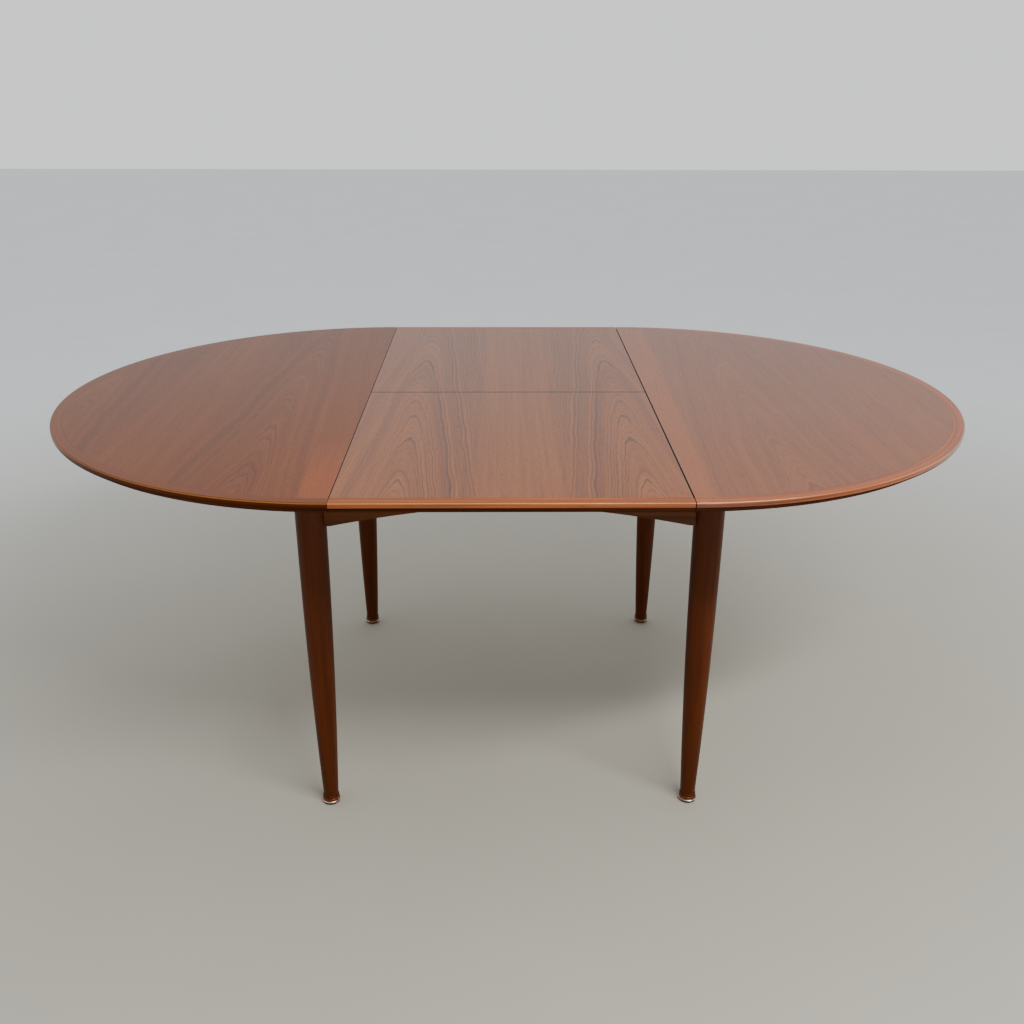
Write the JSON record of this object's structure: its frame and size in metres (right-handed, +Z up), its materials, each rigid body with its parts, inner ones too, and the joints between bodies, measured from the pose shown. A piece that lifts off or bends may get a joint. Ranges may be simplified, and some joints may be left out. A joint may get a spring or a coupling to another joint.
{
  "type": "extending oval dining table",
  "caption": "Round extending dining table drawn out to an oval, with a hinged middle leaf, arched aprons and turned tapered legs on metal-ringed feet.",
  "frame": {"origin": "on the floor under the middle of the table", "axes": "+X along the drawn-out table to its right end, +Y to the back, +Z up"},
  "size_m": [1.8122, 1.24, 0.74],
  "materials": {
    "veneer": "satin oiled teak veneer, grain front to back",
    "lipping": "satin solid teak edge",
    "leg": "satin dark stained teak, turned",
    "apron": "satin dark teak",
    "frame": "plain planed beech",
    "steel": "bright zinc-plated steel",
    "ring": "bright nickelled ring with a copper tint",
    "pad": "dark moulded plastic"
  },
  "bodies": {
    "frame": {"left_rail": "apron", "right_rail": "apron", "front_apron": "apron", "stowage_batten_front": "frame", "back_apron": "apron", "stowage_batten_back": "frame", "left_guide_front": "frame", "leg_front_left": "leg", "foot_ring_front_left": "ring", "foot_pad_front_left": "pad", "corner_block_front_left": "frame", "leg_bolt_front_left": "steel", "leg_nut_front_left": "steel", "left_guide_back": "frame", "leg_back_left": "leg", "foot_ring_back_left": "ring", "foot_pad_back_left": "pad", "corner_block_back_left": "frame", "leg_bolt_back_left": "steel", "leg_nut_back_left": "steel", "right_guide_front": "frame", "leg_front_right": "leg", "foot_ring_front_right": "ring", "foot_pad_front_right": "pad", "corner_block_front_right": "frame", "leg_bolt_front_right": "steel", "leg_nut_front_right": "steel", "right_guide_back": "frame", "leg_back_right": "leg", "foot_ring_back_right": "ring", "foot_pad_back_right": "pad", "corner_block_back_right": "frame", "leg_bolt_back_right": "steel", "leg_nut_back_right": "steel"},
    "left_end": {"left_end_panel": "veneer", "left_end_lipping_front": "lipping", "left_end_lipping_back": "lipping", "left_end_cleat": "frame", "left_leaf_bearer": "frame", "left_runner_front": "frame", "left_runner_back": "frame"},
    "right_end": {"right_end_panel": "veneer", "right_end_lipping_front": "lipping", "right_end_lipping_back": "lipping", "right_end_cleat": "frame", "right_leaf_bearer": "frame", "right_runner_front": "frame", "right_runner_back": "frame"},
    "leaf_back": {"leaf_back_panel": "veneer", "leaf_back_lipping": "lipping", "hinge_cup_left_back": "steel", "hinge_cup_right_back": "steel"},
    "leaf_front": {"leaf_front_panel": "veneer", "leaf_front_lipping": "lipping", "hinge_cup_left_front": "steel", "hinge_cup_right_front": "steel"},
    "leaf_links": {"hinge_link_left": "steel", "hinge_link_right": "steel"}
  },
  "joints": [
    {"name": "left_end_slide", "type": "slide", "parent": "frame", "child": "left_end", "axis": [-1, 0, 0], "range_m": [0, 0.05]},
    {"name": "right_end_slide", "type": "slide", "parent": "frame", "child": "right_end", "axis": [1, 0, 0], "range_m": [0, 0.05]},
    {"name": "leaf_lift", "type": "slide", "parent": "frame", "child": "leaf_back", "axis": [0, 0, 1], "range_m": [0, 0.12]},
    {"name": "leaf_fold", "type": "hinge", "parent": "leaf_back", "child": "leaf_front", "pos_m": [0, 0, 0.7405], "axis": [-1, 0, 0], "range_deg": [0, 180]},
    {"name": "leaf_link_turn", "type": "hinge", "parent": "leaf_back", "child": "leaf_links", "pos_m": [0, 0, 0.7405], "axis": [-1, 0, 0], "range_deg": [0, 90]}
  ],
  "couplings": [
    {"joint": "leaf_link_turn", "follows": "leaf_fold", "ratio": 0.5}
  ]
}
